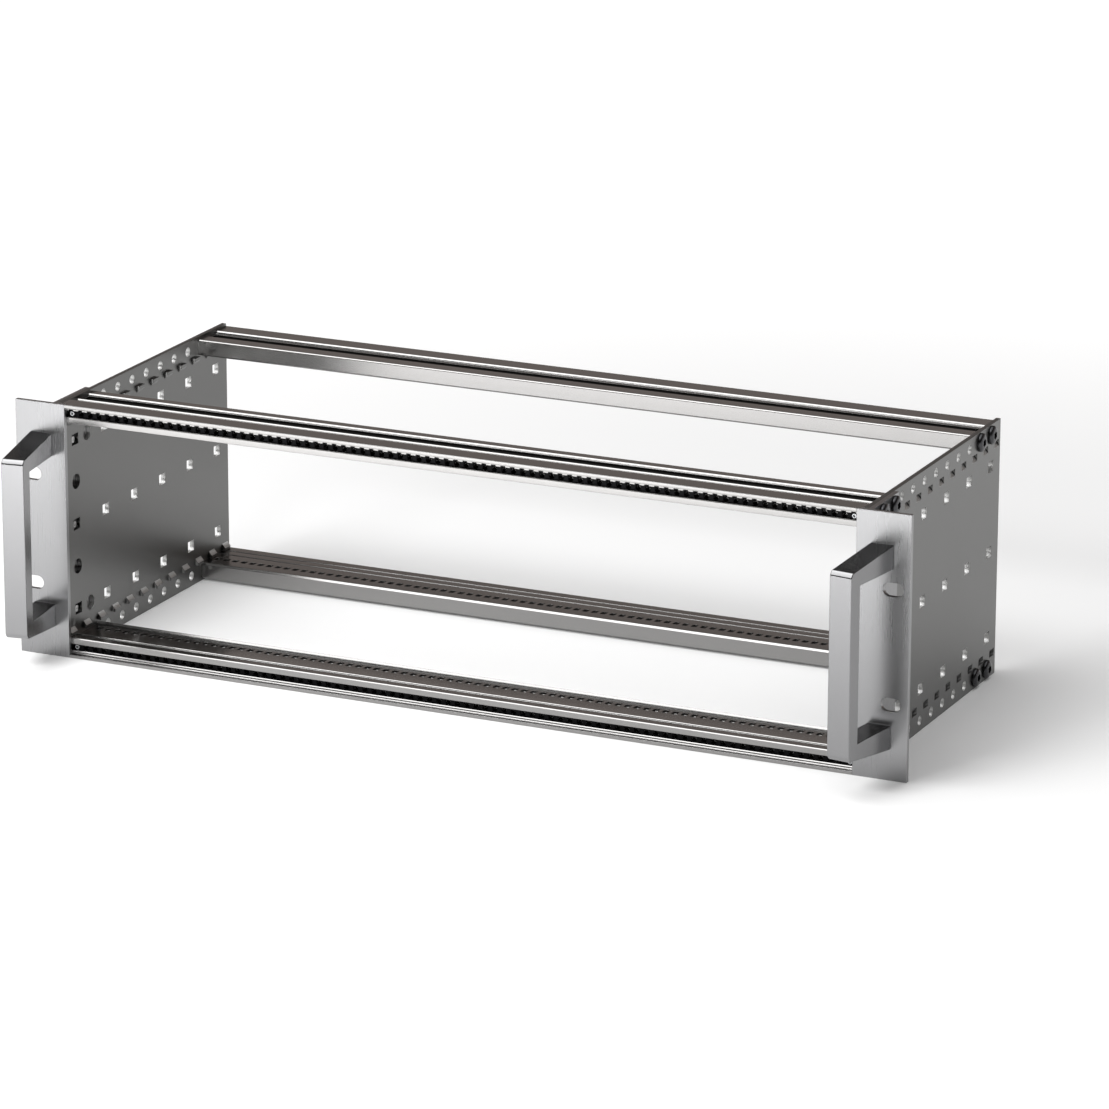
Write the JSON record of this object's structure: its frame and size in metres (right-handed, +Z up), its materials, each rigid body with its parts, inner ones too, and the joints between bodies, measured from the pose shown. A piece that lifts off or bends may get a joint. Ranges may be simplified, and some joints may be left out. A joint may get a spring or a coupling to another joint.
{
  "type": "subrack card cage",
  "caption": "Open rack-mount card cage: perforated side panels joined by extruded rails, with ear brackets and angled front handles.",
  "frame": {"origin": "centre of the rack slot pattern, in the plane of the ears' front faces, at mid height and mid width", "axes": "+X to the right along the rails seen from the front, +Y to the rear, +Z up"},
  "size_m": [0.4826, 0.2171, 0.1326],
  "materials": {
    "panel": "satin passivated sheet",
    "bracket": "satin anodised extrusion",
    "handle": "satin anodised extrusion",
    "rail": "satin anodised extrusion",
    "strip": "blackened steel",
    "screw": "blackened steel",
    "set_screw": "zinc-plated steel",
    "pin": "bright steel"
  },
  "bodies": {
    "root": {"side_panel_left": "panel", "side_panel_right": "panel", "front_bracket_left": "bracket", "front_bracket_right": "bracket", "handle_left": "handle", "handle_right": "handle", "front_rail_top": "rail", "front_rail_bottom": "rail", "rear_rail_top": "rail", "rear_rail_bottom": "rail", "threaded_strip_top": "strip", "threaded_strip_bottom": "strip", "rail_screws_front_left": "screw", "rail_screws_front_right": "screw", "rail_screws_rear_left": "screw", "rail_screws_rear_right": "screw", "handle_screws_left": "screw", "handle_screws_right": "screw", "strip_screws_top": "set_screw", "strip_screws_bottom": "set_screw", "bracket_pins_left": "pin", "bracket_pins_right": "pin"}
  },
  "joints": []
}
